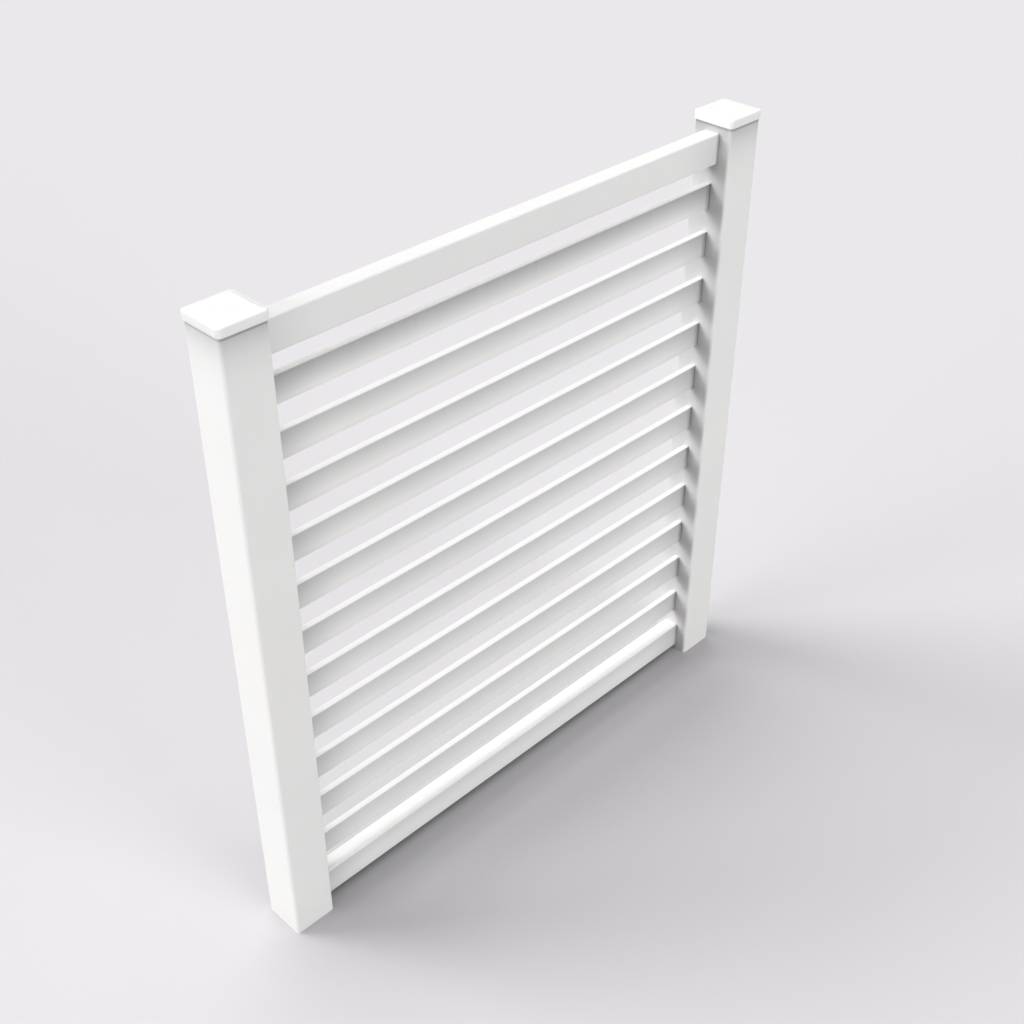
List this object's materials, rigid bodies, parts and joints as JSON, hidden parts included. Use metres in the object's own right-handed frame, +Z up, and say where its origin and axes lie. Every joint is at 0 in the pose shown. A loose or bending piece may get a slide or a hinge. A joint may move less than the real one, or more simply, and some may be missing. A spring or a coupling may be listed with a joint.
{
  "type": "horizontal picket fence",
  "caption": "Fence section in hollow white vinyl: square posts with flat caps, and rails and evenly spaced flat horizontal pickets that run into routed pockets in the posts.",
  "frame": {"origin": "on the ground, midway between the posts and in the middle of their depth", "axes": "+X along the fence to the right as seen from the front, +Y toward the back, +Z up"},
  "size_m": [1.8138, 0.1348, 1.8917],
  "materials": {
    "post_vinyl": "satin",
    "cap_vinyl": "satin",
    "rail_vinyl": "satin",
    "picket_vinyl": "satin",
    "channel_metal": "mill",
    "ring_plastic": "matt"
  },
  "bodies": {
    "root": {"bottom_rail": "rail_vinyl", "top_rail": "rail_vinyl", "bottom_rail_channel": "channel_metal", "top_rail_channel": "channel_metal", "bottom_lock_ring_left": "ring_plastic", "bottom_lock_ring_right": "ring_plastic", "top_lock_ring_left": "ring_plastic", "top_lock_ring_right": "ring_plastic", "picket_01": "picket_vinyl", "picket_02": "picket_vinyl", "picket_03": "picket_vinyl", "picket_04": "picket_vinyl", "picket_05": "picket_vinyl", "picket_06": "picket_vinyl", "picket_07": "picket_vinyl", "picket_08": "picket_vinyl", "picket_09": "picket_vinyl", "picket_10": "picket_vinyl", "picket_11": "picket_vinyl", "post_left": "post_vinyl", "post_right": "post_vinyl", "post_cap_left": "cap_vinyl", "post_cap_right": "cap_vinyl"}
  },
  "joints": []
}
